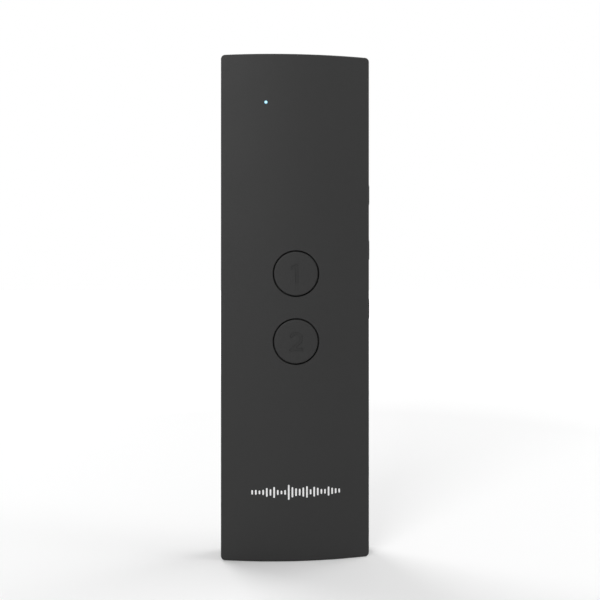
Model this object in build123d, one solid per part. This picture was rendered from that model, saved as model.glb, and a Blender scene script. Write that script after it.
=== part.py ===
from build123d import *
import os
from math import sqrt

# A handheld voice translator: a slim two-shell housing with two round front keys, three side keys,
# a status light, a rear loudspeaker and a charging socket in the bottom end.
#
# Frame: millimetres, +Z up along the housing, the front face towards -Y, +X to the right of the
# front, and the origin at the centre of the bottom end.

os.makedirs("parts", exist_ok=True)

# ---- Housing form ----
width = 42.0
height = 142.0
depth = 11.5
front_radius = 97.4           # the front is a shallow cylinder about a line parallel to Z
rear_edge_radius = 3.6        # long edges of the back
end_edge_radius = 1.15        # edges round both ends
front_edge_radius = 0.45      # rim of the front face
front_wall = 1.6
side_wall = 1.5
end_wall = 1.5
back_wall = 1.4
fit_gap = 0.05                # between pieces that locate each other

# ---- Joint between the shells ----
tongue_height = 0.95
tongue_thickness = 0.65
reveal = 0.15                 # chamfer that marks the parting line
snap_length = 6.0
snap_rise = 0.3
snap_heights = (0.2, 0.4, 0.85)    # shares of the housing's height

# ---- Front keys ----
key_diameter = 12.32
key_gap = 0.4                 # ring between the key and the shell
key_pitch = 19.0
key_top = 1.2                 # thickness of the key's face
key_rim = 0.9
key_post_side = 3.6
key_flange = 1.0              # how far the flange reaches past the key
flange_thickness = 0.7
flange_gap = 0.15             # between the flange and the collar that guides it
collar_wall = 0.8
seat_land = 0.3               # flat land under the curved wall for the flange
key_travel = 0.3
rest_gap = 0.1                # between a released key's flange and its seat
ear_width = 2.4               # ears that stop the key turning
ear_reach = 0.9
pad_side = 6.0
pad_thickness = 0.45
pad_corner = 0.8

# ---- Push switches under the front keys ----
switch_side = 5.2
switch_height = 1.3
switch_corner = 0.6
plunger_side = 2.8
plunger_proud = 0.4
plunger_depth = 0.6           # how far the released plunger reaches into the base
plunger_gap = 0.1

# ---- Main board ----
board_thickness = 1.0
board_gap = 1.3               # between the board's long edges and the side walls
board_end_gap = 1.5
board_corner = 1.6
rib_thickness = 0.9
lower_rib_from_bottom = 19.0
middle_rib_from_bottom = 38.0
upper_rib_from_top = 20.0

# ---- Board screws ----
screw_diameter = 1.5
screw_length = 2.4            # under the head
screw_head_diameter = 2.8
screw_head_height = 0.8
screw_clearance = 0.15
boss_wall = 1.0
screw_from_edge = 3.0         # in from the board's long edge
screw_from_end = 6.5          # in from the board's end

# ---- Side keys ----
side_key_length = 6.5
side_key_width = 2.2
side_key_proud = 0.45
side_key_gap = 0.12
side_key_edge = 0.35
side_key_travel = 0.3
side_flange_lip = 0.3
side_flange_thickness = 0.55
side_nub_length = 2.0
side_nub_width = 1.2
power_key_from_top = 38.8
volume_up_from_top = 54.65
volume_down_from_top = 71.7

# ---- Push switches under the side keys ----
side_switch_length = 4.2
side_switch_height = 1.6
side_switch_depth = 2.3
side_plunger_proud = 0.4
side_plunger_length = 1.8
side_plunger_width = 0.7
side_plunger_depth = 1.2
side_nub_gap = 0.25           # from the flange to the switch's plunger

# ---- Status light ----
light_from_centre = 8.4
light_from_top = 13.6
light_diameter = 0.85
led_length = 1.6
led_width = 0.8
led_height = 0.6
led_gap = 0.05

# ---- Parts on the board's front ----
can_width = 20.0
can_length = 19.0
can_height = 1.6
can_sheet = 0.2
can_corner = 0.6
can_from_top = 36.0           # centre of the can
processor_side = 8.5
memory_length = 7.0
chip_height = 0.85
chip_spread = 5.0
antenna_length = 9.0
antenna_width = 2.0
antenna_height = 1.0
antenna_from_edge = 3.0
crystal_length = 3.2
crystal_width = 2.5
crystal_height = 0.7
passive_length = 1.0
passive_width = 0.5
passive_height = 0.45
passive_pitch = 2.0
passive_count = 6

# ---- Battery ----
battery_from_side = 3.5       # between the cell and the side walls
battery_from_top = 42.0
battery_from_speaker = 8.5    # clear length between the loudspeaker and the cell
battery_corner = 1.3
adhesive_thickness = 0.2
adhesive_inset = 3.0
foam_thickness = 0.3
foam_inset = 6.0
guard_length = 3.0
guard_width = 26.0
guard_thickness = 0.8
bay_gap = 0.4
bay_rib = 0.8
bay_rib_height = 2.0
header_width = 4.6
header_length = 2.6
header_height = 0.9
header_wall = 0.4
header_floor = 0.2
header_from_battery = 9.0     # from the cell's end to the header
plug_gap = 0.08
tail_thickness = 0.2
tail_width = 3.6
tail_straight = 1.5           # straight length at each end of the tail

# ---- Loudspeaker ----
speaker_width = 20.0
speaker_length = 15.0
speaker_corner = 1.6
speaker_from_bottom = 22.0    # centre
speaker_gap = 0.4             # between the loudspeaker and the board
cloth_thickness = 0.1
gasket_thickness = 0.4
gasket_width = 1.2
frame_wall = 0.6
frame_floor = 0.6
cone_ledge = 0.5              # ledge in the frame that carries the cone's rim
cone_drop = 0.6               # from the gasket to the ledge
cone_thickness = 0.2
cone_rim = 1.5                # flat rim that flexes
cone_rise = 0.3
magnet_width = 11.0
magnet_length = 7.0
magnet_gap = 0.5              # between the magnet and the cone
leaf_thickness = 0.12
leaf_width = 1.2
leaf_foot = 1.0
leaf_run = 1.6
leaf_spread = 3.0             # each contact's distance from the centre line
ring_gap = 0.25               # between the loudspeaker and the rib that holds it
ring_wall = 0.8
ring_height = 2.1
grille_slot = 1.1
grille_length = 14.0
grille_pitch = 2.4
grille_count = 5

# ---- Charging socket ----
socket_width = 8.94
socket_thickness = 3.26
socket_sheet = 0.3
socket_length = 7.3
socket_setback = 0.25
socket_gap = 0.17             # round the socket in the end wall
socket_board_gap = 0.15
socket_back = 1.5             # plastic block at the socket's inner end
socket_tongue_width = 6.7
socket_tongue_thickness = 0.7
socket_tongue_setback = 0.8
socket_tab_width = 1.0
socket_tab_length = 1.4
socket_tab_sheet = 0.2
contact_width = 0.25
contact_pitch = 0.9
contact_thickness = 0.05
contact_length = 3.6
contact_count = 6

# ---- Microphones ----
microphone_from_centre = 9.5
microphone_width = 3.5
microphone_length = 2.65
microphone_height = 1.0
boot_width = 4.4
boot_height = 1.5
boot_length = 3.0
port_diameter = 0.8
port_wall = 0.25              # rubber between the sound port and the board

# ---- Places that follow from the sizes ----
front_apex = -depth / 2
back_face = depth / 2
arc_centre = front_apex + front_radius
inner_front = front_apex + front_wall
inner_back = back_face - back_wall
inner_half = width / 2 - side_wall
parting = back_face - rear_edge_radius
groove_depth = tongue_height + fit_gap

key_radius = key_diameter / 2
key_hole_radius = key_radius + key_gap
flange_radius = key_radius + key_flange
collar_bore = flange_radius + flange_gap
key_seat = inner_front + seat_land
flange_front = key_seat + rest_gap
flange_back = flange_front + flange_thickness
collar_back = flange_back + key_travel + flange_gap
pad_back = flange_back + pad_thickness
switch_top = pad_back + plunger_proud
board_front = switch_top + switch_height
board_back = board_front + board_thickness
board_middle = (board_front + board_back) / 2
key_heights = {"key_one": (height + key_pitch) / 2, "key_two": (height - key_pitch) / 2}

board_half = inner_half - board_gap
board_bottom = end_wall + board_end_gap
board_top = height - board_bottom
screw_x = board_half - screw_from_edge
screw_places = [(-screw_x, board_bottom + screw_from_end), (screw_x, board_bottom + screw_from_end),
                (0, board_top - screw_from_end)]

side_key_heights = {
    "power_key": height - power_key_from_top,
    "volume_up_key": height - volume_up_from_top,
    "volume_down_key": height - volume_down_from_top,
}
side_flange_outer = inner_half - rest_gap
side_flange_inner = side_flange_outer - side_flange_thickness
side_plunger_tip = side_flange_inner - side_nub_gap
side_switch_face = side_plunger_tip - side_plunger_proud

battery_width = 2 * (inner_half - battery_from_side)
light_x, light_z = -light_from_centre, height - light_from_top
led_top = board_front - led_height
rib_places = (lower_rib_from_bottom, middle_rib_from_bottom, height - upper_rib_from_top)
can_z = height - can_from_top
speaker_top = speaker_from_bottom + speaker_length / 2
battery_bottom = speaker_top + battery_from_speaker
battery_top = height - battery_from_top
battery_front = board_back + foam_thickness
battery_back = inner_back - adhesive_thickness
battery_middle = (battery_front + battery_back) / 2
header_z = battery_top + header_from_battery

speaker_back = inner_back - cloth_thickness - gasket_thickness   # the side that faces the grille
speaker_front = board_back + speaker_gap
port_y = board_back + port_wall + port_diameter / 2
socket_end = socket_setback + socket_length


# ---- Shapes used throughout ----
def block(x, y, z):
    """A box between three pairs of limits."""
    middle = [(a + b) / 2 for a, b in (x, y, z)]
    return Pos(*middle) * Box(x[1] - x[0], y[1] - y[0], z[1] - z[0])


def disc(radius, y_from, y_to, x=0, z=0):
    """A round bar about a line parallel to Y."""
    return Pos(x, (y_from + y_to) / 2, z) * Rot(X=90) * Cylinder(radius, y_to - y_from)


def across(sketch, y_from, y_to, x=0, z=0):
    """A sketch drawn on the front view, made solid from front to back."""
    plane = Plane(origin=(x, y_to, z), x_dir=(1, 0, 0), z_dir=(0, -1, 0))
    return extrude(plane * sketch, y_to - y_from)


def upright(sketch, z_from, z_to, x=0, y=0):
    """A sketch drawn on the plan view, made solid along the housing."""
    return extrude(Plane(origin=(x, y, z_from)) * sketch, z_to - z_from)


def sideways(sketch, x_from, x_to, y=0, z=0):
    """A sketch drawn on the side view, made solid towards +X."""
    return extrude(Plane(origin=(x_from, y, z), x_dir=(0, 1, 0), z_dir=(1, 0, 0)) * sketch, x_to - x_from)


def turned(points, x=0, z=0):
    """A solid turned about a line parallel to Y, from (radius, y) points."""
    return Pos(x, 0, z) * revolve(make_face(Polyline(*points, close=True)), Axis.Y)


# ---- Housing form ----
def form(side=0.0, front=0.0, back=0.0, end=0.0, rear_radius=rear_edge_radius, end_radius=0.0):
    """The housing's form, drawn in by a wall on each side."""
    half = width / 2 - side
    reach = front_apex - end_edge_radius * 3      # well ahead of the front, which is cut next
    corners = [(-half, reach), (half, reach), (half, back_face - back), (-half, back_face - back)]
    section = make_face(Polyline(*corners, close=True))
    section = fillet(section.vertices().sort_by(Axis.Y)[-2:], rear_radius)
    blank = upright(section, end, height - end)
    if end_radius:
        blank = fillet(blank.edges().filter_by(Plane.XY), end_radius)
    face = Pos(0, arc_centre, height / 2) * Cylinder(front_radius - front, height)
    return blank & face


def outside():
    """The housing's outer surface, with its softened front rim."""
    body = form(end_radius=end_edge_radius)
    rim = body.faces().filter_by(GeomType.CYLINDER).sort_by(Axis.Y)[0].edges()
    return fillet(rim, front_edge_radius)


def hollow():
    """The space inside the walls."""
    return form(side_wall, front_wall, back_wall, end_wall, rear_edge_radius - back_wall)


def rim_frame(thickness, y_from, y_to):
    """A frame just outside the hollow, of the given thickness."""
    long, wide = height - 2 * end_wall, 2 * inner_half
    frame = Rectangle(wide + 2 * thickness, long + 2 * thickness) - Rectangle(wide, long)
    return across(frame, y_from, y_to, z=height / 2)


def snap_beads(grow=0.0):
    """Ramped beads along the shells' joint, three on each side."""
    base, tip = inner_half + tongue_thickness, inner_half + tongue_thickness + snap_rise + grow
    middle, reach = parting - tongue_height / 2, snap_rise + grow
    ramp = [(base, middle - reach), (tip, middle), (base, middle + reach)]
    right = make_face(Polyline(*ramp, close=True))
    beads = [upright(right, share * height - snap_length / 2 - grow, share * height + snap_length / 2 + grow)
             for share in snap_heights]
    return beads + [bead.mirror(Plane.YZ) for bead in beads]


def behind_parting():
    """Everything behind the parting line."""
    return block((-width, width), (parting, depth), (-height, 2 * height))


def with_reveal(half):
    """One half of the outer form, with the small chamfer that marks the parting line."""
    joint = half.faces().filter_by(lambda f: abs(f.center().Y - parting) < fit_gap).sort_by(SortBy.AREA)[-1]
    return chamfer(joint.edges(), reveal)


def socket_outline(gap=0.0):
    """The charging socket's outline, seen from below."""
    return SlotOverall(socket_width + 2 * gap, socket_thickness + 2 * gap)


def socket_way():
    """The opening in the bottom end that clears the charging socket."""
    return upright(socket_outline(socket_gap), -end_wall, end_wall + fit_gap, y=board_middle)


def side_key_way(z):
    """The space that a side key takes in the side wall and just inside it."""
    slot = SlotOverall(side_key_length + 2 * side_key_gap, side_key_width + 2 * side_key_gap, rotation=90)
    return sideways(slot, inner_half - fit_gap, width / 2 + side_key_proud, board_middle, z)


def port_way(at_top):
    """The sound port through one end wall."""
    z = height - end_wall / 2 if at_top else end_wall / 2
    return Pos(microphone_from_centre, port_y, z) * Cylinder(port_diameter / 2, end_wall + 2 * fit_gap)


# ---- Front shell ----
def key_collar(z):
    """The collar inside the shell for a front key, which is bored later."""
    return disc(collar_bore + collar_wall, front_apex, collar_back, z=z)


def key_way(z):
    """A front key's hole, the bore that guides its flange and the slots for its ears."""
    hole = disc(key_hole_radius, 2 * front_apex, key_seat, z=z)
    bore = disc(collar_bore, key_seat, collar_back, z=z)
    reach, half = flange_radius + ear_reach + collar_wall, ear_width / 2 + flange_gap
    return hole + bore + block((-reach, reach), (key_seat, collar_back), (z - half, z + half))


def screw_boss(x, z):
    """A boss that the board is screwed to."""
    return disc(screw_diameter / 2 + boss_wall, front_apex, board_front, x, z)


def board_rib(z):
    """A rib across the shell that the board lies on."""
    thick = rib_thickness / 2
    return block((-inner_half, inner_half), (front_apex, board_front), (z - thick, z + thick))


def light_way():
    """The small hole that the light pipe shows through."""
    return disc(light_diameter / 2 + fit_gap, 2 * front_apex, board_front, light_x, light_z)


def front_shell():
    """The front moulding: face, side walls, key collars, bosses, ribs and the joint's groove."""
    body = with_reveal(outside() - behind_parting())
    inner = hollow()
    fittings = Part() + [key_collar(z) for z in key_heights.values()]
    fittings += [screw_boss(x, z) for x, z in screw_places]
    fittings += [board_rib(z) for z in rib_places]
    body = body - inner + (fittings & inner)
    body -= rim_frame(tongue_thickness + fit_gap, parting - groove_depth, parting)
    body -= snap_beads(fit_gap)
    body -= [disc(screw_diameter / 2, inner_front + seat_land, board_front, x, z) for x, z in screw_places]
    body -= [key_way(z) for z in key_heights.values()]
    body -= [side_key_way(z) for z in side_key_heights.values()]
    body -= [light_way(), socket_way(), port_way(True), port_way(False)]
    return body


# ---- Rear shell ----
def grille(y_from, y_to):
    """Slots with rounded ends, in an even row over the loudspeaker."""
    slot = SlotOverall(grille_length, grille_slot)
    first = speaker_from_bottom - grille_pitch * (grille_count - 1) / 2
    return [across(slot, y_from, y_to, z=first + i * grille_pitch) for i in range(grille_count)]


def battery_bay():
    """Ribs on the rear wall that keep the battery in place."""
    half = battery_width / 2 + bay_gap
    low, high = battery_bottom - bay_gap, battery_top + bay_gap
    y = (inner_back - bay_rib_height, inner_back)
    frame = block((-half - bay_rib, half + bay_rib), y, (low - bay_rib, high + bay_rib))
    frame -= block((-half, half), y, (low, high))
    way_out = guard_width / 2 + bay_gap
    return frame - block((-way_out, way_out), y, (high - bay_gap, high + bay_rib))


def speaker_outline(inset=0.0):
    """The loudspeaker's outline with its cut corners, drawn in by an inset or out by a negative one."""
    sides = Rectangle(speaker_width - 2 * inset, speaker_length - 2 * inset)
    return chamfer(sides.vertices(), speaker_corner)


def speaker_rib():
    """A rib on the rear wall that holds the loudspeaker."""
    frame = speaker_outline(-ring_gap - ring_wall) - speaker_outline(-ring_gap)
    return across(frame, inner_back - ring_height, inner_back, z=speaker_from_bottom)


def rear_shell():
    """The rear moulding: back, rounded long edges, grille, battery bay and the joint's tongue."""
    body = with_reveal(outside() & behind_parting()) - hollow()
    body += rim_frame(tongue_thickness, parting - tongue_height, parting + tongue_height)
    body += snap_beads()
    body += [battery_bay() & hollow(), speaker_rib()]
    body -= grille(inner_back - fit_gap, back_face + fit_gap)
    body -= [side_key_way(z) for z in side_key_heights.values()]
    body -= [socket_way(), port_way(True), port_way(False)]
    return body


# ---- Front keys ----
def key_cap(z):
    """A round key that follows the housing's front, hollow behind, with its flange and centre post."""
    core = key_radius - key_rim
    face_back = front_apex + key_top
    points = [(0, front_apex), (key_radius, front_apex), (key_radius, flange_front),
              (flange_radius, flange_front), (flange_radius, flange_back), (core, flange_back),
              (core, face_back), (0, face_back)]
    cap = turned(points, z=z) & form()
    cap += across(Rectangle(key_post_side, key_post_side), face_back, flange_back, z=z)
    ear = flange_radius + ear_reach
    bar = block((-ear, ear), (flange_front, flange_back), (z - ear_width / 2, z + ear_width / 2))
    return cap + (bar - disc(core, flange_front, flange_back, z=z))


def key_pad(z):
    """The silicone pad that passes the key's push on to the switch."""
    square = Rectangle(pad_side, pad_side)
    return across(chamfer(square.vertices(), pad_corner), flange_back, pad_back, z=z)


def key_plunger(z):
    """The switch's plunger."""
    return across(Rectangle(plunger_side, plunger_side), pad_back, switch_top + plunger_depth, z=z)


def key_switch(z):
    """The switch's base, open in the middle for the plunger."""
    square = Rectangle(switch_side, switch_side)
    base = across(chamfer(square.vertices(), switch_corner), switch_top, board_front, z=z)
    depth_of_way = plunger_depth + key_travel + plunger_gap
    way = plunger_side + 2 * plunger_gap
    return base - across(Rectangle(way, way), switch_top, switch_top + depth_of_way, z=z)


# ---- Side keys ----
def side_key_cap(z):
    """A side key: its rounded head, the flange inside the wall and the nub that meets the switch."""
    outer = width / 2 + side_key_proud
    head = sideways(SlotOverall(side_key_length, side_key_width, rotation=90),
                    side_flange_outer, outer, board_middle, z)
    head = chamfer(head.faces().sort_by(Axis.X)[-1].edges(), side_key_edge)
    lip = 2 * side_flange_lip
    flange = sideways(Rectangle(side_key_width + lip, side_key_length + lip),
                      side_flange_inner, side_flange_outer, board_middle, z)
    nub = sideways(Rectangle(side_nub_width, side_nub_length), side_plunger_tip, side_flange_inner,
                   board_middle, z)
    return head + flange + nub


def side_plunger(z):
    """The plunger of a switch at the board's edge."""
    return sideways(Rectangle(side_plunger_width, side_plunger_length),
                    side_switch_face - side_plunger_depth, side_plunger_tip, board_middle, z)


def side_switch(z):
    """The base of a switch in a notch of the board's edge."""
    base = sideways(Rectangle(side_switch_height, side_switch_length),
                    side_switch_face - side_switch_depth, side_switch_face, board_middle, z)
    room = side_switch_face - side_plunger_depth - side_key_travel - fit_gap
    way = sideways(Rectangle(side_plunger_width + 2 * fit_gap, side_plunger_length + 2 * fit_gap),
                   room, side_switch_face, board_middle, z)
    return base - way


# ---- Main board and what is on it ----
def main_board():
    """The main circuit board, notched for the side switches and the charging socket."""
    long = board_top - board_bottom
    outline = Rectangle(2 * board_half, long)
    board = across(chamfer(outline.vertices(), board_corner), board_front, board_back, z=height / 2)
    board -= [disc(screw_diameter / 2 + screw_clearance, board_front, board_back, x, z)
              for x, z in screw_places]
    notch_x = side_switch_face - side_switch_depth - socket_board_gap
    notch_z = side_switch_length / 2 + socket_board_gap
    y = (board_front, board_back)
    board -= [block((notch_x, width), y, (z - notch_z, z + notch_z)) for z in side_key_heights.values()]
    half = socket_width / 2 + socket_board_gap
    return board - block((-half, half), y, (0, socket_end + socket_board_gap))


def board_screws():
    """Three pan-head screws that hold the board to the front shell: two beside the socket, one at the top."""
    tip = board_back - screw_length
    screws = [disc(screw_diameter / 2, tip, board_back, x, z)
              + disc(screw_head_diameter / 2, board_back, board_back + screw_head_height, x, z)
              for x, z in screw_places]
    return Compound(children=[screw.solid() for screw in screws])


def on_board(wide, long, high, x, z):
    """A flat component on the board's front."""
    return block((x - wide / 2, x + wide / 2), (board_front - high, board_front),
                 (z - long / 2, z + long / 2))


def shield_can():
    """The pressed cover over the processor and memory."""
    half_w, half_l, sheet = can_width / 2, can_length / 2, can_sheet
    top = board_front - can_height
    can = block((-half_w, half_w), (top, board_front), (can_z - half_l, can_z + half_l))
    can = chamfer(can.edges().filter_by(Axis.Y), can_corner)
    return can - block((sheet - half_w, half_w - sheet), (top + sheet, board_front),
                       (can_z - half_l + sheet, can_z + half_l - sheet))


def board_passives():
    """A row of small chip components beside the shield can."""
    x = can_width / 2 + passive_pitch
    start = can_z - passive_pitch * (passive_count - 1) / 2
    row = [on_board(passive_width, passive_length, passive_height, side * x, start + i * passive_pitch)
           for side in (-1, 1) for i in range(passive_count)]
    return Compound(children=[piece.solid() for piece in row])


def light_pipe():
    """The clear pin that brings the LED's light to a small dot in the front."""
    return disc(light_diameter / 2, 2 * front_apex, led_top - led_gap, light_x, light_z) & form(back=-depth)


# ---- Battery ----
def battery_cell():
    """The pouch cell."""
    outline = RectangleRounded(battery_width, battery_back - battery_front, battery_corner)
    return upright(outline, battery_bottom, battery_top, y=battery_middle)


def battery_guard():
    """The cell's protection board, at its upper end."""
    outline = Rectangle(guard_width, guard_thickness)
    return upright(outline, battery_top, battery_top + guard_length, y=battery_middle)


def battery_adhesive():
    """The tape that holds the cell to the rear wall."""
    half = battery_width / 2 - adhesive_inset
    low, high = battery_bottom + adhesive_inset, battery_top - adhesive_inset
    return block((-half, half), (battery_back, inner_back), (low, high))


def battery_foam():
    """The foam between the board and the cell, which backs up the board under the keys."""
    half = battery_width / 2 - foam_inset
    low, high = battery_bottom + foam_inset, battery_top - foam_inset
    return block((-half, half), (board_back, battery_front), (low, high))


def battery_header():
    """The shallow socket on the board that takes the battery's plug."""
    half_w, z = header_width / 2, (header_z, header_z + header_length)
    body = block((-half_w, half_w), (board_back, board_back + header_height), z)
    room_z = (header_z + header_wall, header_z + header_length - header_wall)
    return body - block((header_wall - half_w, half_w - header_wall),
                        (board_back + header_floor, board_back + header_height), room_z)


def battery_plug():
    """The plug under the battery's flexible tail."""
    inset = header_wall + plug_gap
    half_w = header_width / 2 - inset
    return block((-half_w, half_w), (board_back + header_floor, board_back + header_height),
                 (header_z + inset, header_z + header_length - inset))


def ribbon(points, half_width, x=0):
    """A strip of constant width, bent as the (y, z) outline of its edge shows."""
    return sideways(make_face(Polyline(*points, close=True)), x - half_width, x + half_width)


def battery_tail():
    """The flexible printed tail from the guard board to the plug."""
    start, end = battery_top + guard_length, header_z + header_length
    low, high = board_back + header_height, battery_middle
    turn, land = start + tail_straight, header_z - tail_straight
    thick = tail_thickness / 2
    return ribbon([(high + thick, start), (high + thick, turn), (low + tail_thickness, land),
                   (low + tail_thickness, end), (low, end), (low, land - thick), (high - thick, turn - thick),
                   (high - thick, start)], tail_width / 2)


# ---- Loudspeaker, which faces the back ----
def speaker_frame():
    """The basket: a box with cut corners, open to the back, with a ledge for the cone's rim."""
    ledge = speaker_back - cone_drop
    frame = across(speaker_outline(), speaker_front, speaker_back, z=speaker_from_bottom)
    frame -= across(speaker_outline(frame_wall), ledge, speaker_back, z=speaker_from_bottom)
    return frame - across(speaker_outline(frame_wall + cone_ledge), speaker_front + frame_floor, ledge,
                          z=speaker_from_bottom)


def speaker_cone():
    """The film cone: a flat rim that flexes and a raised middle."""
    ledge = speaker_back - cone_drop
    rim = across(speaker_outline(frame_wall + fit_gap), ledge, ledge + cone_thickness, z=speaker_from_bottom)
    inset = frame_wall + cone_rim
    dome = across(speaker_outline(inset), ledge + cone_thickness, ledge + cone_thickness + cone_rise,
                  z=speaker_from_bottom)
    under = across(speaker_outline(inset + cone_thickness), ledge, ledge + cone_rise, z=speaker_from_bottom)
    return rim + dome - under


def speaker_magnet():
    """The magnet and its steel plate on the basket's floor."""
    half_w, half_l = magnet_width / 2, magnet_length / 2
    top = speaker_back - cone_drop - magnet_gap
    return block((-half_w, half_w), (speaker_front + frame_floor, top),
                 (speaker_from_bottom - half_l, speaker_from_bottom + half_l))


def speaker_gasket():
    """The foam frame between the basket and the cloth."""
    ring = speaker_outline() - speaker_outline(gasket_width)
    return across(ring, speaker_back, speaker_back + gasket_thickness, z=speaker_from_bottom)


def grille_cloth():
    """The acoustic cloth behind the grille."""
    return across(Rectangle(speaker_width - speaker_corner, speaker_length - speaker_corner),
                  inner_back - cloth_thickness, inner_back, z=speaker_from_bottom)


def speaker_contacts():
    """Two leaf springs that carry the sound current from the board to the loudspeaker."""
    start = speaker_from_bottom - leaf_foot
    turn, end = start + leaf_foot, start + leaf_foot + leaf_run
    top, low, thick = speaker_front, board_back, leaf_thickness
    points = [(top, start), (top, turn), (low + thick, end), (low + thick, end + leaf_foot),
              (low, end + leaf_foot), (low, end - thick), (top - thick, turn - thick), (top - thick, start)]
    return Compound(children=[ribbon(points, leaf_width / 2, side * leaf_spread).solid() for side in (-1, 1)])


# ---- Charging socket ----
def socket_shell():
    """The socket's steel tube, with the tabs that are soldered to the board."""
    wall = socket_outline() - socket_outline(-socket_sheet)
    tube = upright(wall, socket_setback, socket_end, y=board_middle)
    y = (board_front - socket_tab_sheet, board_front)
    half = socket_width / 2
    tabs = []
    for side in (-1, 1):
        x = sorted((side * (half - 2 * socket_sheet), side * (half + socket_tab_width)))
        for z in (board_bottom + socket_tab_length, socket_end - socket_tab_length):
            tab = block(x, y, (z - socket_tab_length / 2, z + socket_tab_length / 2))
            tabs.append(tab - upright(socket_outline(-socket_sheet / 2), 0, height / 2, y=board_middle))
    return tube + tabs


def socket_tongue():
    """The plastic block that closes the socket and the tongue that stands in it."""
    back = upright(socket_outline(-socket_sheet), socket_end - socket_back, socket_end, y=board_middle)
    tongue = Rectangle(socket_tongue_width, socket_tongue_thickness)
    tip = socket_setback + socket_tongue_setback
    return back + upright(tongue, tip, socket_end - socket_back, y=board_middle)


def socket_contacts():
    """Two rows of contacts, one on each side of the tongue."""
    start = socket_setback + 2 * socket_tongue_setback
    face = socket_tongue_thickness / 2
    rows = []
    for side in (-1, 1):
        y = sorted((board_middle + side * face, board_middle + side * (face + contact_thickness)))
        for i in range(contact_count):
            x = (i - (contact_count - 1) / 2) * contact_pitch
            reach = (x - contact_width / 2, x + contact_width / 2)
            rows.append(block(reach, y, (start, start + contact_length)))
    return Compound(children=[row.solid() for row in rows])


# ---- Microphones ----
def microphone(at_top):
    """A microphone on the board's back, near one end."""
    z = end_wall + boot_length + microphone_length / 2
    z = height - z if at_top else z
    x, half = microphone_from_centre, microphone_width / 2
    return block((x - half, x + half), (board_back, board_back + microphone_height),
                 (z - microphone_length / 2, z + microphone_length / 2))


def microphone_boot(at_top):
    """The rubber boot, with a square sound way, that joins the microphone to the sound port."""
    z = end_wall + boot_length / 2
    z = height - z if at_top else z
    x, half, reach = microphone_from_centre, boot_width / 2, boot_length / 2
    boot = block((x - half, x + half), (board_back, board_back + boot_height), (z - reach, z + reach))
    return boot - Pos(x, port_y, z) * Box(port_diameter, port_diameter, boot_length)


# ---- All pieces ----
def pieces():
    """Every piece by name."""
    led = on_board(led_length, led_width, led_height, light_x, light_z)
    processor_x = can_sheet - chip_spread
    memory_x = chip_spread - memory_length / 2 + processor_side / 2
    crystal_z = can_z + can_length / 2 + crystal_length
    parts = {
        "front_shell": front_shell(),
        "rear_shell": rear_shell(),
        "main_board": main_board(),
        "board_screws": board_screws(),
        "light_pipe": light_pipe(),
        "status_led": led,
        "processor_chip": on_board(processor_side, processor_side, chip_height, processor_x, can_z),
        "memory_chip": on_board(memory_length, processor_side, chip_height, memory_x, can_z),
        "shield_can": shield_can(),
        "board_passives": board_passives(),
        "crystal": on_board(crystal_width, crystal_length, crystal_height, 0, crystal_z),
        "antenna": on_board(antenna_length, antenna_width, antenna_height, 0, board_top - antenna_from_edge),
        "battery_cell": battery_cell(),
        "battery_guard": battery_guard(),
        "battery_adhesive": battery_adhesive(),
        "battery_foam": battery_foam(),
        "battery_header": battery_header(),
        "battery_plug": battery_plug(),
        "battery_tail": battery_tail(),
        "speaker_frame": speaker_frame(),
        "speaker_cone": speaker_cone(),
        "speaker_magnet": speaker_magnet(),
        "speaker_gasket": speaker_gasket(),
        "speaker_contacts": speaker_contacts(),
        "grille_cloth": grille_cloth(),
        "socket_shell": socket_shell(),
        "socket_tongue": socket_tongue(),
        "socket_contacts": socket_contacts(),
        "upper_microphone": microphone(True),
        "lower_microphone": microphone(False),
        "upper_microphone_boot": microphone_boot(True),
        "lower_microphone_boot": microphone_boot(False),
    }
    for name, z in key_heights.items():
        parts[name + "_cap"] = key_cap(z)
        parts[name + "_pad"] = key_pad(z)
        parts[name + "_plunger"] = key_plunger(z)
        parts[name + "_switch"] = key_switch(z)
    for name, z in side_key_heights.items():
        parts[name + "_cap"] = side_key_cap(z)
        parts[name + "_plunger"] = side_plunger(z)
        parts[name + "_switch"] = side_switch(z)
    return parts


for name, piece in pieces().items():
    export_step(piece, f"parts/{name}.step")
    print(f"{name}: {len(piece.solids())} solid(s), {piece.volume:.1f} mm3")
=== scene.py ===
# %% [markdown]
# # A handheld voice translator
#
# The object is a slim black stick as tall as a phone: two matt plastic shells, two round keys
# flush with the curved front, a pin-prick status light, three small keys on the right side, a
# loudspeaker grille in the back and a charging socket in the bottom end. The engineering solids
# arrive as a fixed frame, in metres, with Z up and the front facing -Y. This lesson dresses
# them: first the camera, the floor and the light, then one finish after another, and last the
# pieces that are too fine for the solids.

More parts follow.
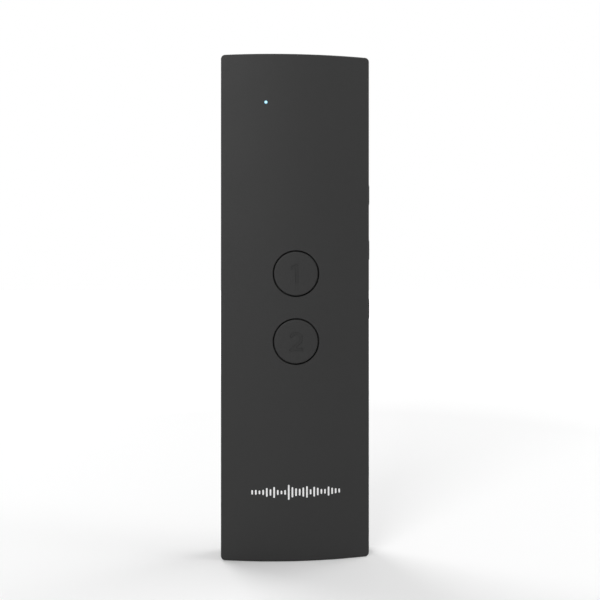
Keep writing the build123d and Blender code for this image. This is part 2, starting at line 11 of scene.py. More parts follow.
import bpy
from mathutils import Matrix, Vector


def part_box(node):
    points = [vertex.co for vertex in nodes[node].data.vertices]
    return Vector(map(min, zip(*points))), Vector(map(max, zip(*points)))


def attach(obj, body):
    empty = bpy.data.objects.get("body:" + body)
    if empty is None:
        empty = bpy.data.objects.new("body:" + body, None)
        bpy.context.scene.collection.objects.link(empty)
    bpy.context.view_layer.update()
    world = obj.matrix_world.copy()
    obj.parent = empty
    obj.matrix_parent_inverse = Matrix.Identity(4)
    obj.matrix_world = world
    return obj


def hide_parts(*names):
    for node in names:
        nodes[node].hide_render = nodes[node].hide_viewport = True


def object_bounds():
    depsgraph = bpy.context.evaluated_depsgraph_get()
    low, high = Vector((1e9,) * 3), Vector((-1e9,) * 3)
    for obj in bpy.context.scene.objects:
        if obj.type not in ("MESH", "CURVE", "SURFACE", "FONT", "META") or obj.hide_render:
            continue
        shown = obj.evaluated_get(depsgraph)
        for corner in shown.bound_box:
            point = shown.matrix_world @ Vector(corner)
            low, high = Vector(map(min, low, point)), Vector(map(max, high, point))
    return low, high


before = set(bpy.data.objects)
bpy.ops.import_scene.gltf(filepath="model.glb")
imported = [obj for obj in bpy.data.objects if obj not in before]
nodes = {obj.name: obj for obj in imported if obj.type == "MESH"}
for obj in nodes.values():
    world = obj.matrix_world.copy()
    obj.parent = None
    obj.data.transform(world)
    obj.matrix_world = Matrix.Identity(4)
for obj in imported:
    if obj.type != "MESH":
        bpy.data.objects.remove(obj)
cad_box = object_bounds()

# %% What the lesson builds with
import math

import bmesh
import bpy
from mathutils import Vector

mm = 0.001
for plain in list(bpy.data.materials):      # the frame's own flat finishes make room for real ones
    bpy.data.materials.remove(plain)
print("solids in the frame:", len(nodes))
print("box in mm:", [tuple(round(v / mm, 2) for v in corner) for corner in cad_box])

# %% [markdown]
# ## Camera
#
# The stick is seen from twenty centimetres away, level and a little from its left. From so near,
# the top and bottom edges bow with the curved front. A camera that looks up or down would make
# the upright edges lean, so it stays level and its lens is shifted a little instead, as with
# an architect's camera.

# %% Camera
camera_data = bpy.data.cameras.new("camera")
camera_data.sensor_width = 36.0
camera_data.lens = 42.93
camera_data.shift_y = -0.038
camera_data.clip_start = 0.01
camera = bpy.data.objects.new("camera", camera_data)
camera.location = Vector((-12.92, -205.34, 79.5)) * mm
camera.rotation_euler = (math.radians(90.0), 0.0, math.radians(-4.02))
bpy.context.scene.collection.objects.link(camera)
bpy.context.scene.camera = camera
bpy.context.scene.view_settings.view_transform = "Standard"
print("camera to front, mm:", round((cad_box[0].y - camera.location.y) / mm, 1))

# %% [markdown]
# ## Writing a shader as arithmetic
#
# A material is a small program of nodes. Wired by hand it soon looks like a bowl of spaghetti,
# so one class wraps a node's output and lets Python's own operators add the nodes:
# `1 - mask * 0.3` then reads like the formula it is. Each operator also has its reflected form,
# because in `1 - mask` the number comes first and Python asks the mask to do the work.

# %% A wire that understands arithmetic
class Wire:
    """One output of a node. Arithmetic on it adds nodes to the same recipe."""

    def __init__(self, recipe, socket):
        self.recipe = recipe
        self.socket = socket

    def __add__(self, other):
        return combine("ADD", self, other)

    def __radd__(self, other):
        return combine("ADD", other, self)

    def __sub__(self, other):
        return combine("SUBTRACT", self, other)

    def __rsub__(self, other):
        return combine("SUBTRACT", other, self)

    def __mul__(self, other):
        return combine("MULTIPLY", self, other)

    def __rmul__(self, other):
        return combine("MULTIPLY", other, self)

    def __truediv__(self, other):
        return combine("DIVIDE", self, other)

    def __rtruediv__(self, other):
        return combine("DIVIDE", other, self)

    def above(self, other):
        """1 where this is more than the other, else 0."""
        return combine("GREATER_THAN", self, other)

    def below(self, other):
        """1 where this is less than the other, else 0."""
        return combine("LESS_THAN", self, other)

    def larger(self, other):
        """The larger of the two at each point."""
        return combine("MAXIMUM", self, other)

    def smaller(self, other):
        """The smaller of the two at each point."""
        return combine("MINIMUM", self, other)


comparisons = [name for name in vars(Wire) if not name.startswith("__")]
print("a wire takes + - * / and:", ", ".join(comparisons))

# %% [markdown]
# Which node works out a sum depends on what meets in it. Numbers go through Math nodes, while
# colours go through Mix nodes and vectors through Vector Math nodes, because a Math node turns
# a colour grey. A plain number beside a colour or a vector is first spread over its channels.

# %% The node behind an operator
def grey(value):
    """A neutral colour from one number."""
    return (value, value, value, 1.0)


def combine(operation, left, right):
    """Add the node that works out left (operation) right for numbers, vectors or colours."""
    wires = [term for term in (left, right) if isinstance(term, Wire)]
    kinds = {wire.socket.type for wire in wires}
    add = wires[0].recipe.add
    if "RGBA" in kinds:
        settings = {"data_type": "RGBA", "blend_type": operation}
        sides = [grey(t) if isinstance(t, (int, float)) else t for t in (left, right)]
        return add("Mix", settings, {"Factor": 1.0, "A": sides[0], "B": sides[1]})
    if "VECTOR" in kinds:
        sides = [(t, t, t) if isinstance(t, (int, float)) else t for t in (left, right)]
        return add("VectorMath", {"operation": operation}, dict(enumerate(sides)))
    return add("Math", {"operation": operation}, {0: left, 1: right})


print("middle grey:", grey(0.5))

# %% [markdown]
# Everything that isn't arithmetic comes from one method. It takes the node's type, then its
# settings, such as a ramp's stops, and last the values or wires of its sockets. The settings
# go first because they decide which sockets the node shows.

# %% A tree that adds nodes
class Tree:
    """The nodes of one finish, of the floor or of the world."""

    def __init__(self, tree):
        self.tree = tree
        self.tree.nodes.clear()

    def add(self, kind, settings=None, sockets=None, out=None):
        """Add a shader node, set it, feed its sockets, and return one of its outputs."""
        node = self.tree.nodes.new("ShaderNode" + kind)
        for name, value in (settings or {}).items():
            if name == "stops":
                self.set_stops(node.color_ramp, value)
            else:
                setattr(node, name, value)
        for name, value in (sockets or {}).items():
            self.feed(self.find(node.inputs, name), value)
        found = self.find(node.outputs, out) if node.outputs else None
        return Wire(self, found)

    def find(self, sockets, name):
        """The socket with that name or number among those in use, or the first."""
        shown = [socket for socket in sockets if socket.enabled]
        if name is None:
            return shown[0]
        if isinstance(name, int):
            return shown[name]
        return next(socket for socket in shown if socket.name == name)

    def feed(self, socket, value):
        """Link a wire to a socket, or write a value on it."""
        if isinstance(value, Wire):
            self.tree.links.new(value.socket, socket)
        else:
            socket.default_value = value

    def set_stops(self, ramp, stops):
        """Give a colour ramp its stops, each a place and a colour."""
        while len(ramp.elements) < len(stops):
            ramp.elements.new(0.5)
        for element, (place, colour) in zip(ramp.elements, stops):
            element.position = place
            element.color = colour


print("kinds of node to add:", sum(name.startswith("ShaderNode") for name in dir(bpy.types)))

# %% [markdown]
# A few nodes turn up in nearly every finish: a blend of two colours, the place on the object,
# soft noise and a relief. They get short names of their own. Sizes and depths go in as metres,
# so a pattern keeps its true size on a shell and on a screw alike.

# %% The nodes that finishes share
class Recipe(Tree):
    """A tree with short names for the nodes that most finishes need."""

    def mix(self, first, second, share):
        """A colour between two colours."""
        return self.add("Mix", {"data_type": "RGBA"}, {"Factor": share, "A": first, "B": second})

    def place(self):
        """Where a point is on its own object, in metres."""
        return self.add("TexCoord", out="Object")

    def along(self, axis):
        """One coordinate of the place on the object, in metres."""
        return self.add("SeparateXYZ", {}, {0: self.place()}, out=axis)

    def noise(self, size, detail=2.0, roughness=0.5, place=None):
        """Soft random blotches about size metres across, from 0 to 1."""
        return self.add("TexNoise", {}, {"Vector": place or self.place(), "Scale": 1 / size,
                                         "Detail": detail, "Roughness": roughness})

    def relief(self, height, depth, under=None):
        """Turn a height from 0 to 1 into a surface relief that is depth metres deep."""
        sockets = {"Height": height, "Distance": depth}
        if under is not None:
            sockets["Normal"] = under
        return self.add("Bump", {}, sockets)


print("short names:", ", ".join(name for name in vars(Recipe) if not name.startswith("__")))

# %% [markdown]
# Two sums come back in one finish after another: a noise turned into a swing about zero, which
# makes a surface now duller and now glossier than its mean, and a colour made darker or
# lighter. A finish is then a function that returns what goes into the main shader. It could
# layer several shaders, but one Principled shader has metal, coat and glow in it, and that
# covers every material here.

# %% Swing, tint and finish
def swing(wire, spread):
    """Turn a share from 0 to 1 into a swing about zero, as wide as the spread."""
    return (wire - 0.5) * spread


def tint(colour, factor=1.0):
    """A colour made darker or lighter, full at most, with its alpha."""
    return tuple(min(channel * factor, 1.0) for channel in colour) + (1.0,)


def finish(name, write):
    """A material whose main shader takes the sockets that write(recipe) works out."""
    material = bpy.data.materials.new(name)
    material.use_nodes = True
    recipe = Recipe(material.node_tree)
    shader = recipe.add("BsdfPrincipled", {}, write(recipe))
    recipe.add("OutputMaterial", {}, {"Surface": shader})
    return material


print("a tint never passes white:", tint((0.5, 0.8, 1.0), 1.5))

# %% [markdown]
# ## Floor, backdrop and light
#
# The stick stands on an endless white table. The floor is an ordinary pale sheet that keeps
# the stick's shadow. A camera ray also finds a faint glow in it, which grows with the distance,
# so the sheet fades into the white backdrop without any more light on the stick.

# %% Floor
floor_size = 8.0
floor_glow_near = 0.11
floor_glow_far = 1.0
glow_start, glow_end = 0.22, 1.2      # metres from the stick


def floor_surface(recipe):
    """Pale paint, with a glow that only the camera sees and that grows with the distance."""
    spot = recipe.add("VectorMath", {"operation": "LENGTH"}, {0: recipe.place()})
    share = recipe.add("MapRange", {}, {"Value": spot, "From Min": glow_start, "From Max": glow_end,
                                        "To Min": floor_glow_near, "To Max": floor_glow_far})
    seen = recipe.add("LightPath", out="Is Camera Ray")
    glow = recipe.mix(grey(0.0), grey(1.0), share * seen)
    return {"Base Color": grey(0.8), "Roughness": 0.7, "Specular IOR Level": 0.2,
            "Emission Color": glow, "Emission Strength": 1.0}


sheet = bmesh.new()
bmesh.ops.create_grid(sheet, x_segments=8, y_segments=8, size=floor_size / 2)
floor_mesh = bpy.data.meshes.new("studio_floor")
sheet.to_mesh(floor_mesh)
sheet.free()
floor_mesh.materials.append(finish("studio_floor", floor_surface))
floor = bpy.data.objects.new("studio_floor", floor_mesh)
bpy.context.scene.collection.objects.link(floor)
print("floor:", floor_size, "m square")

# %% [markdown]
# The backdrop is the world. What the camera sees, and what gloss and clear plastic show, is
# plain white. What lights the stick is dimmer, because in a real studio the white sheet
# is lit from one side and the room behind the camera is darker.

# %% World
ambient_light = 0.30

world = bpy.data.worlds.new("studio")
world.use_nodes = True
bpy.context.scene.world = world
sky = Recipe(world.node_tree)
backdrop = sky.add("Background", {}, {"Color": grey(1.0), "Strength": 1.0})
ambient = sky.add("Background", {}, {"Color": grey(1.0), "Strength": ambient_light})
plain_white = sky.add("LightPath", out="Is Camera Ray")
for ray in ("Is Glossy Ray", "Is Transmission Ray"):
    plain_white = plain_white.larger(sky.add("LightPath", out=ray))
shown = sky.add("MixShader", {}, {0: plain_white, 1: ambient, 2: backdrop})
sky.add("OutputWorld", {}, {"Surface": shown})
print("ambient strength:", ambient_light)

# %% [markdown]
# Three soft boxes do the rest. A bare lamp would draw a hard shadow, so each is a large square
# that shines from all over its face. The main one hangs before the stick to its upper left, so
# the front is lightest at its upper left corner and fades towards the lower right. The second
# hangs above and behind, and lays the soft shadow in front of the foot. The third hangs high on
# the right and lays a wide, faint shadow to the left.

# %% Soft boxes
middle = (cad_box[0] + cad_box[1]) / 2


def softbox(name, place, size, watts):
    """A square area light that points at the middle of the stick."""
    data = bpy.data.lights.new(name, "AREA")
    data.shape = "SQUARE"
    data.size = size
    data.energy = watts
    lamp = bpy.data.objects.new(name, data)
    lamp.location = Vector(place)
    lamp.rotation_euler = (middle - lamp.location).to_track_quat("-Z", "Y").to_euler()
    bpy.context.scene.collection.objects.link(lamp)
    return lamp


lamps = [softbox("key_light", (-0.33, -0.58, 0.40), size=0.35, watts=2.14),
         softbox("back_light", (-0.40, 0.50, 0.60), size=0.50, watts=3.28),
         softbox("side_light", (0.45, 0.05, 0.60), size=0.50, watts=2.75)]
print("soft boxes:", [lamp.name for lamp in lamps])

# %% [markdown]
# ## Soft-touch plastic
#
# Both shells are moulded in black plastic and sprayed with a soft-touch coat. It is
# very dark, not quite black, with a wide dull sheen instead of a highlight. Close up it has a
# fine even grain from the mould, a fifth of a millimetre across, and handling leaves
# broad, barely visible changes in how dull it is. A picture of grain would repeat and would
# stretch round the edges. Noise that is worked out from the place on the object does neither,
# so two small noises make the relief, and a broad one varies shade and roughness.

# %% Soft-touch finish
grain_size = 0.18 * mm
grain_depth = 0.013 * mm
pore_size = grain_size * 3.1
pore_depth = grain_depth * 1.6
handling_size = 14 * mm


def soft_touch(name, shade, dullness):
    """Matt black coat: two sizes of grain, faint blotches in shade and in roughness."""
    def write(recipe):
        place = recipe.place()
        grains = recipe.noise(grain_size, roughness=0.55, place=place)
        pores = recipe.noise(pore_size, detail=3.0, roughness=0.6, place=place)
        handling = recipe.noise(handling_size, detail=4.0, roughness=0.55, place=place)
        return {"Base Color": recipe.mix(grey(shade * 0.93), grey(shade * 1.07), handling),
                "Roughness": dullness + swing(handling, 0.10) + swing(pores, 0.06),
                "Specular IOR Level": 0.28,
                "Normal": recipe.relief(pores, pore_depth, under=recipe.relief(grains, grain_depth))}
    return finish(name, write)


shell_black = 0.026
housing_plastic = soft_touch("housing_plastic", shell_black, dullness=0.57)
key_plastic = soft_touch("key_plastic", shell_black, dullness=0.55)
side_key_plastic = soft_touch("side_key_plastic", shell_black * 0.9, dullness=0.44)
print("soft-touch shade:", shell_black)

# %% [markdown]
# The shells and the small parts inside come with the frame and have the right shape already.
# They could be copied and dressed as new pieces, but then two of each would have to be kept
# alike, so only the material in their slots changes.

# %% Give carried-over solids their finish
def dress(material, *names):
    """Put a material in every slot of the named solids."""
    for name in names:
        solid = nodes[name]
        if not solid.material_slots:
            solid.data.materials.append(material)
        for slot in solid.material_slots:
            slot.material = material
    print(material.name, "on", ", ".join(names))


dress(housing_plastic, "front_shell", "rear_shell")
dress(side_key_plastic, "power_key_cap", "volume_up_key_cap", "volume_down_key_cap")

# %% [markdown]
# ## Plain mouldings and rubber
#
# The small mouldings inside, such as a switch's base or a connector, are nylon or a similar
# hard plastic. They come straight from the tool: one colour with a slight cloudiness where the
# melt flowed, and a satin skin. Silicone and rubber are the same recipe with a duller skin and
# a softer relief, so one function makes them all, and a finish is one line.

# %% Moulded finish
cloud_size = 3 * mm
skin_size = 0.12 * mm


def moulded(name, colour, dullness, depth=0.003 * mm, level=0.5):
    """A moulded plastic or rubber: cloudy colour, uneven skin and a fine grain."""
    def write(recipe):
        place = recipe.place()
        flow = recipe.noise(cloud_size, detail=3.0, place=place)
        skin = recipe.noise(skin_size, place=place)
        return {"Base Color": recipe.mix(tint(colour, 0.88), tint(colour, 1.10), flow),
                "Roughness": dullness + swing(skin, 0.12),
                "Specular IOR Level": level, "Normal": recipe.relief(skin, depth)}
    return finish(name, write)


switch_base = moulded("switch_base", (0.030, 0.030, 0.032), dullness=0.42)
switch_plunger = moulded("switch_plunger", (0.62, 0.60, 0.55), dullness=0.38)
connector_nylon = moulded("connector_nylon", (0.70, 0.66, 0.55), dullness=0.45)
speaker_plastic = moulded("speaker_plastic", (0.022, 0.022, 0.024), dullness=0.40)
socket_plastic = moulded("socket_plastic", (0.020, 0.020, 0.021), dullness=0.36)
key_silicone = moulded("key_silicone", (0.34, 0.35, 0.36), dullness=0.62, depth=0.006 * mm)
boot_rubber = moulded("boot_rubber", (0.028, 0.028, 0.030), dullness=0.74, depth=0.010 * mm, level=0.35)
print("cloudiness, mm across:", round(cloud_size / mm, 2))

# %% Mouldings inside
side_keys = ("power_key", "volume_up_key", "volume_down_key")
front_keys = ("key_one", "key_two")
dress(switch_base, *(key + "_switch" for key in front_keys + side_keys))
dress(switch_plunger, *(key + "_plunger" for key in front_keys + side_keys))
dress(key_silicone, *(key + "_pad" for key in front_keys))
dress(connector_nylon, "battery_header", "battery_plug")
dress(speaker_plastic, "speaker_frame")
dress(socket_plastic, "socket_tongue")
dress(boot_rubber, "upper_microphone_boot", "lower_microphone_boot")

# %% [markdown]
# ## Plated metal
#
# The charging socket is a deep-drawn steel tube with a nickel skin. Drawing leaves fine lines
# along the pull, and plugs rub brighter streaks into it. Screws, the shielding can, the magnet
# plate and the microphones are plated steel too, only duller or warmer, and the contacts
# have a thin layer of gold. A picture of brushed steel would need each piece unwrapped. A
# stretched noise needs no unwrapping: the place is squeezed along the pull, so each blotch
# becomes a long line.

# %% Plated finish
stain_size = 2.2 * mm


def plated(name, colour, dullness, pull=(1.0, 1.0, 0.06), line=0.05 * mm, depth=0.0015 * mm):
    """Plated steel or gold with fine drawn lines along one axis, and small stains."""
    def write(recipe):
        drawn = recipe.noise(line, roughness=0.6, place=recipe.place() * pull)
        stain = recipe.noise(stain_size, detail=4.0, roughness=0.6)
        return {"Base Color": recipe.mix(tint(colour, 0.82), tint(colour), stain), "Metallic": 1.0,
                "Roughness": dullness + swing(drawn, 0.16) + swing(stain, 0.10),
                "Normal": recipe.relief(drawn, depth)}
    return finish(name, write)


socket_steel = plated("socket_steel", (0.72, 0.71, 0.69), dullness=0.27, line=0.08 * mm,
                      depth=0.0006 * mm)
screw_steel = plated("screw_steel", (0.60, 0.59, 0.56), dullness=0.34, pull=(1.0, 0.1, 1.0))
can_steel = plated("can_steel", (0.70, 0.70, 0.68), dullness=0.38, line=0.08 * mm)
yoke_steel = plated("yoke_steel", (0.50, 0.50, 0.50), dullness=0.30, pull=(0.08, 1.0, 1.0))
microphone_metal = plated("microphone_metal", (0.74, 0.66, 0.48), dullness=0.30, pull=(1.0, 1.0, 1.0))
contact_gold = plated("contact_gold", (0.90, 0.65, 0.28), dullness=0.22)
dress(socket_steel, "socket_shell")
dress(screw_steel, "board_screws")
dress(can_steel, "shield_can", "crystal")
dress(yoke_steel, "speaker_magnet")
dress(microphone_metal, "upper_microphone", "lower_microphone")
dress(contact_gold, "socket_contacts", "speaker_contacts")

# %% [markdown]
# ## Circuit board and what is soldered to it
#
# A board is glass cloth in resin under a thin green mask. Copper tracks show through the mask as
# slightly raised, lighter lines, in bundles that run mostly along the board. Tracks are a few
# hundredths of a millimetre high, so modelling them would cost thousands of faces for nothing,
# and a relief in the finish is enough. The fraction left when a place is divided by the pitch
# climbs from 0 to 1 and starts again, which gives stripes, and a patchy mask decides where a
# bundle runs.

# %% Board laminate
bundle_size = 7 * mm
bundle_level = 0.5            # tracks run upright where the first noise is above this
patch_size = 11 * mm
patch_level = 0.52            # elsewhere they run level, where the second is above this
upright_pitch, upright_share = 0.55 * mm, 0.45
level_pitch, level_share = 0.70 * mm, 0.40
weave_size = 0.35 * mm
track_height = 0.02 * mm


def stripes(value, pitch, share):
    """1 on lines that repeat every pitch and take that share of it, else 0."""
    turn = value.recipe.add("Math", {"operation": "FRACT"}, {0: value / pitch})
    return turn.below(share)


def laminate(recipe):
    """Green mask over glass cloth, with bundles of raised tracks up and across the board."""
    bundles = recipe.noise(bundle_size, detail=1.0, roughness=0.4).above(bundle_level)
    upright = stripes(recipe.along("X"), upright_pitch, upright_share) * bundles
    level = stripes(recipe.along("Z"), level_pitch, level_share) * (1 - bundles)
    patches = recipe.noise(patch_size, detail=1.0, roughness=0.4).above(patch_level)
    tracks = upright.larger(level * patches)
    weave = recipe.noise(weave_size)
    mask = recipe.mix((0.006, 0.050, 0.026, 1.0), (0.008, 0.064, 0.034, 1.0), weave)
    return {"Base Color": recipe.mix(mask, (0.022, 0.120, 0.060, 1.0), tracks),
            "Roughness": 0.34 + weave * 0.08,
            "Normal": recipe.relief(tracks * 0.8 + weave * 0.2, track_height)}


board_laminate = finish("board_laminate", laminate)
dress(board_laminate, "main_board", "battery_guard")

# %% [markdown]
# Chips are black epoxy full of silica flour, so they are dull with a fine light speckle. The
# small resistors and capacitors are fired ceramic, warm grey-brown and slightly pitted, and so
# is the antenna. Both are a ground with grains in it. Cutting a fine noise at a level leaves
# separate grains, and a lower level leaves more of them, so one function serves both.

# %% Chips and ceramics
ground_size = 1.8 * mm
pit_depth = 0.004 * mm


def speckled(name, colour, speck_colour, speck, share, dullness):
    """A filled resin or ceramic: a ground colour with scattered fine specks."""
    def write(recipe):
        specks = recipe.noise(speck, detail=1.0).above(1 - share)
        ground = recipe.noise(ground_size, detail=3.0)
        base = recipe.mix(tint(colour, 0.85), tint(colour), ground)
        pits = recipe.noise(speck * 2, detail=3.0, roughness=0.6)
        return {"Base Color": recipe.mix(base, tint(speck_colour), specks),
                "Roughness": dullness + swing(ground, 0.1),
                "Normal": recipe.relief(pits, pit_depth)}
    return finish(name, write)


chip_epoxy = speckled("chip_epoxy", (0.022, 0.022, 0.023), (0.06, 0.06, 0.06),
                      speck=0.05 * mm, share=0.36, dullness=0.55)
ceramic_parts = speckled("ceramic_parts", (0.42, 0.31, 0.20), (0.55, 0.45, 0.33),
                         speck=0.06 * mm, share=0.35, dullness=0.40)
dress(chip_epoxy, "processor_chip", "memory_chip")
dress(ceramic_parts, "board_passives", "antenna")

# %% [markdown]
# ## Battery, tape, foam and film
#
# A pouch cell is wrapped in aluminium foil with a clear nylon skin: silver, slightly wrinkled,
# and smooth in the large. Its tape is milky, the foam that backs up the board is full of tiny
# cells, and the tail that joins it to the board is amber film over copper strips. Where things
# meet along lines, as creases and cell walls do, a Voronoi pattern is nearer to them than
# noise, because its cells have edges.

# %% Battery foil
wrinkle_size = 5 * mm
wrinkle_depth = 0.12 * mm
crease_size = 9 * mm
crease_width = 0.2            # share of a cell that a crease's slope takes


def foil(recipe):
    """Silver foil with soft wrinkles and a few straight creases."""
    wrinkles = recipe.noise(wrinkle_size, detail=5.0, roughness=0.55)
    creases = recipe.add("TexVoronoi", {"feature": "DISTANCE_TO_EDGE"},
                         {"Vector": recipe.place(), "Scale": 1 / crease_size}, out="Distance")
    height = wrinkles * 0.7 + creases.smaller(crease_width) * 1.5
    return {"Base Color": recipe.mix((0.60, 0.61, 0.62, 1.0), (0.74, 0.75, 0.76, 1.0), wrinkles),
            "Metallic": 0.85, "Roughness": 0.30 + wrinkles * 0.10,
            "Normal": recipe.relief(height, wrinkle_depth)}


cell_foil = finish("cell_foil", foil)
dress(cell_foil, "battery_cell")

# %% Tape and foam
bubble_size = 0.6 * mm
bubble_depth = 0.02 * mm
foam_cell = 0.28 * mm
foam_depth = 0.15 * mm


def milky_tape(recipe):
    """Milky tape with tiny bubbles."""
    bubbles = recipe.noise(bubble_size)
    return {"Base Color": recipe.mix((0.62, 0.60, 0.52, 1.0), (0.76, 0.74, 0.66, 1.0), bubbles),
            "Roughness": 0.35 + bubbles * 0.2, "Normal": recipe.relief(bubbles, bubble_depth)}


def open_foam(recipe):
    """Dark foam with painted shade in the hollows of its cells, so their walls look lighter."""
    cell_walls_and_painted_shade = recipe.add("TexVoronoi", {}, {"Vector": recipe.place(), "Scale": 1 / foam_cell},
                       out="Distance")
    # painted shade: darker in the hollows of the cells, lighter on their walls; the same distance makes
    # the relief
    return {"Base Color": recipe.mix((0.020, 0.020, 0.022, 1.0), (0.085, 0.085, 0.090, 1.0), cell_walls_and_painted_shade),
            "Roughness": 0.92, "Specular IOR Level": 0.2, "Normal": recipe.relief(cell_walls_and_painted_shade, foam_depth)}


adhesive = finish("adhesive", milky_tape)
foam = finish("foam", open_foam)
dress(adhesive, "battery_adhesive")
dress(foam, "battery_foam", "speaker_gasket")

# %% Films
strip_pitch, strip_share = 0.60 * mm, 0.62
strip_height = 0.02 * mm
dust_size = 0.9 * mm
haze_size = 1.5 * mm
rib_size = 0.25 * mm
rib_height = 0.01 * mm


def tail_copper(recipe):
    """Amber film over copper strips that run along the tail."""
    strips = stripes(recipe.along("X"), strip_pitch, strip_share)
    dust = recipe.noise(dust_size, detail=3.0)
    colour = recipe.mix((0.20, 0.075, 0.012, 1.0), (0.42, 0.17, 0.035, 1.0), strips)
    return {"Base Color": colour * (0.9 + dust * 0.2), "Roughness": 0.26 + dust * 0.12,
            "Coat Weight": 0.4 + strips * 0.2, "Normal": recipe.relief(strips, strip_height)}


def cone_film(recipe):
    """Pressed amber film, hazy and finely ribbed."""
    haze = recipe.noise(haze_size, detail=3.0)
    ribs = recipe.noise(rib_size, detail=1.0)
    return {"Base Color": recipe.mix((0.16, 0.12, 0.07, 1.0), (0.24, 0.18, 0.10, 1.0), haze),
            "Roughness": 0.30 + haze * 0.1, "Normal": recipe.relief(ribs, rib_height)}


tail_film = finish("tail_film", tail_copper)
speaker_film = finish("speaker_film", cone_film)
dress(tail_film, "battery_tail")
dress(speaker_film, "speaker_cone")

# %% [markdown]
# ## Status light
#
# A tiny LED on the board sends its light through a clear pin that ends flush in the front.
# What shows is a dot under a millimetre wide: nearly white with a touch of cyan in its middle,
# and blue towards the rim, where less light arrives. Light traced through a clear pin would be
# slow and full of sparks for so small a dot. So the pin glows by itself, and the distance from
# its middle line drives the colour of the glow through a ramp.

# %% Light pin
pin_low, pin_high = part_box("light_pipe")
pin_middle = (pin_low + pin_high) / 2
pin_radius = (pin_high.x - pin_low.x) / 2
pin_stops = [(0.0, (0.62, 1.0, 1.0, 1.0)), (0.50, (0.42, 0.92, 1.0, 1.0)),
             (1.0, (0.02, 0.20, 0.42, 1.0))]
pin_haze = 0.2 * mm


def lit_pin(recipe):
    """Clear plastic that glows, whitest on its middle line."""
    spot = recipe.place() - tuple(pin_middle)
    reach = recipe.add("VectorMath", {"operation": "LENGTH"}, {0: spot * (1.0, 0.0, 1.0)})
    glow = recipe.add("ValToRGB", {"stops": pin_stops}, {0: reach / pin_radius})
    haze = recipe.noise(pin_haze)
    return {"Base Color": (0.30, 0.45, 0.50, 1.0), "Roughness": 0.12 + haze * 0.08,
            "Emission Color": glow, "Emission Strength": 1.0}


light_clear = finish("light_clear", lit_pin)
dress(light_clear, "light_pipe")
print("light pin radius, mm:", round(pin_radius / mm, 3))

# %% LED
grit_size = 0.06 * mm
grit_depth = 0.004 * mm


def phosphor(recipe):
    """Yellow phosphor that glows nearly white."""
    grit = recipe.noise(grit_size)
    colour = recipe.mix((0.80, 0.72, 0.30, 1.0), (0.90, 0.84, 0.45, 1.0), grit)
    glow = recipe.mix((0.50, 0.90, 1.0, 1.0), (0.70, 1.0, 1.0, 1.0), grit)
    return {"Base Color": colour, "Roughness": 0.45, "Emission Color": glow, "Emission Strength": 2.0,
            "Normal": recipe.relief(grit, grit_depth)}


led = finish("led", phosphor)
dress(led, "status_led")

# %% [markdown]
# ## New pieces
#
# What is finer than the solids is built here as real geometry. Each new piece is shaded smooth
# except where two faces meet at more than a set angle, because flat shading would show every
# facet of a round key and smooth shading alone would smear its edges. It rides on the body
# that carries it.

# %% Turn a mesh into a piece
crease = math.radians(30.0)


def settle(made):
    """Shade smooth, with sharp edges where faces meet at more than the crease angle."""
    made.data.shade_smooth()
    made.data.set_sharp_from_angle(angle=crease)


def piece(name, mesh, material, body):
    """Give a finished mesh an object, a finish and the body that it rides on."""
    data = bpy.data.meshes.new(name)
    mesh.to_mesh(data)
    mesh.free()
    data.materials.append(material)
    made = bpy.data.objects.new(name, data)
    bpy.context.scene.collection.objects.link(made)
    settle(made)
    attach(made, body)
    print(name, "has", len(data.polygons), "faces")
    return made


print("crease angle, degrees:", round(math.degrees(crease)))

# %% [markdown]
# ### Grille cloth
#
# Behind the grille's slots a fine black cloth keeps dust out of the loudspeaker. It is stretched
# flat and glued to the back shell. A plane with a picture of threads would look printed through
# the slots, so the cloth is a closed sheet of its true thickness, and its faces swell and sink
# from crossing to crossing. The finish adds the threads: a sine wave along each direction, and
# the product of the two decides which thread is on top.

# %% Cloth finish
thread_pitch = 0.32 * mm
thread_height = 0.05 * mm
fluff_size = 0.08 * mm


def threads(recipe, axis):
    """A wave from -1 to 1 that changes sign from thread to thread along one axis."""
    return recipe.add("Math", {"operation": "SINE"}, {0: recipe.along(axis) * (math.pi / thread_pitch)})


def cloth_surface(recipe):
    """Black threads with painted light where one lies on top and painted shade where it dips under,
    with a little fluff.
    """
    over_and_painted_light = (threads(recipe, "X") * threads(recipe, "Z")) * 0.5 + 0.5
    fluff = recipe.noise(fluff_size, detail=3.0, roughness=0.6)
    # painted light on the thread that lies on top and painted shade under it, from the same wave as the
    # relief
    return {"Base Color": recipe.mix(grey(0.012), grey(0.050), over_and_painted_light * 0.8 + fluff * 0.2),
            "Roughness": 0.82 + fluff * 0.1, "Specular IOR Level": 0.25,
            "Normal": recipe.relief(over_and_painted_light * 0.85 + fluff * 0.15, thread_height)}


acoustic_cloth = finish("acoustic_cloth", cloth_surface)
print("threads per centimetre:", round(10 * mm / thread_pitch))

# %% Woven sheet
low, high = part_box("grille_cloth")
cloth_width, cloth_length = high.x - low.x, high.z - low.z
cloth_steps = 0.64 * mm          # one crossing of threads in the mesh
cloth_wave = 0.012 * mm


